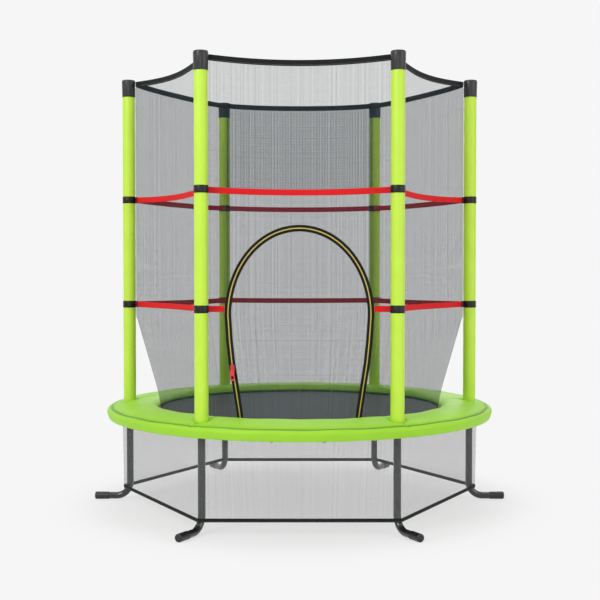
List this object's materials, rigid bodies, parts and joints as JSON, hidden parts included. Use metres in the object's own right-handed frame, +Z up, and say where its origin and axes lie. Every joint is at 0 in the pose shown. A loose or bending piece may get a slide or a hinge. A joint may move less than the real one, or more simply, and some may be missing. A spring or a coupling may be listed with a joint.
{
  "type": "trampoline",
  "caption": "Hexagonal children's trampoline: padded round frame on bent legs, foam-covered poles, net enclosure with an arched zip door, and a net skirt below.",
  "frame": {"origin": "on the floor, under the middle of the round frame", "axes": "+Z up, the zipped doorway faces -Y, +X through the two side legs"},
  "size_m": [1.516, 1.403, 1.545],
  "materials": {
    "steel": "satin",
    "leg": "gloss",
    "foot_cap": "matte",
    "foam": "satin",
    "pole_cap": "satin",
    "net": "matte",
    "skirt": "matte",
    "tape": "matte",
    "band": "satin",
    "zip_pull": "gloss",
    "pad": "satin",
    "mat": "matte",
    "cord": "matte"
  },
  "bodies": {
    "frame": {"rail_tube_right": "steel", "rail_tube_back_right": "steel", "rail_tube_back_left": "steel", "rail_tube_left": "steel", "rail_tube_front_left": "steel", "rail_tube_front_right": "steel", "leg_right": "leg", "leg_back_right": "leg", "leg_back_left": "leg", "leg_left": "leg", "leg_front_left": "leg", "leg_front_right": "leg", "foot_cap_right": "foot_cap", "foot_cap_back_right": "foot_cap", "foot_cap_back_left": "foot_cap", "foot_cap_left": "foot_cap", "foot_cap_front_left": "foot_cap", "foot_cap_front_right": "foot_cap", "pole_right": "steel", "pole_back_right": "steel", "pole_back_left": "steel", "pole_left": "steel", "pole_front_left": "steel", "pole_front_right": "steel", "foam_sleeve_right": "foam", "foam_sleeve_back_right": "foam", "foam_sleeve_back_left": "foam", "foam_sleeve_left": "foam", "foam_sleeve_front_left": "foam", "foam_sleeve_front_right": "foam", "pole_cap_right": "pole_cap", "pole_cap_back_right": "pole_cap", "pole_cap_back_left": "pole_cap", "pole_cap_left": "pole_cap", "pole_cap_front_left": "pole_cap", "pole_cap_front_right": "pole_cap", "net_panel_right_back": "net", "net_panel_back": "net", "net_panel_left_back": "net", "net_panel_left_front": "net", "net_panel_front": "net", "net_panel_right_front": "net", "skirt_panel_right_back": "skirt", "skirt_panel_back": "skirt", "skirt_panel_left_back": "skirt", "skirt_panel_left_front": "skirt", "skirt_panel_front": "skirt", "skirt_panel_right_front": "skirt", "upper_band": "band", "lower_band": "band", "top_hem": "tape", "skirt_hem": "tape", "zip_tape": "tape", "spring_pad": "pad", "elastic_cord": "cord"},
    "mat": {"jump_mat": "mat"},
    "door": {"door_panel": "net"},
    "slider": {"zip_slider": "zip_pull"},
    "pull": {"zip_pull": "zip_pull"}
  },
  "joints": [
    {"name": "mat_bounce", "type": "slide", "parent": "frame", "child": "mat", "axis": [0, 0, 1], "range_m": [-0.1, 0], "stiffness_N_per_m": 5000, "springref_m": 0.002, "deforming": ["elastic_cord"]},
    {"name": "door_fold", "type": "hinge", "parent": "frame", "child": "door", "pos_m": [0, -0.50598, 0.3622], "axis": [1, 0, 0], "range_deg": [0, 60]},
    {"name": "zip_slide", "type": "slide", "parent": "frame", "child": "slider", "axis": [-0.1441, -0.1105, 0.9834], "range_m": [-0.11, 0]},
    {"name": "pull_swing", "type": "hinge", "parent": "slider", "child": "pull", "pos_m": [-0.21881, -0.49799, 0.53341], "axis": [-0.9772, 0.1724, -0.1238], "range_deg": [0, 150]}
  ]
}
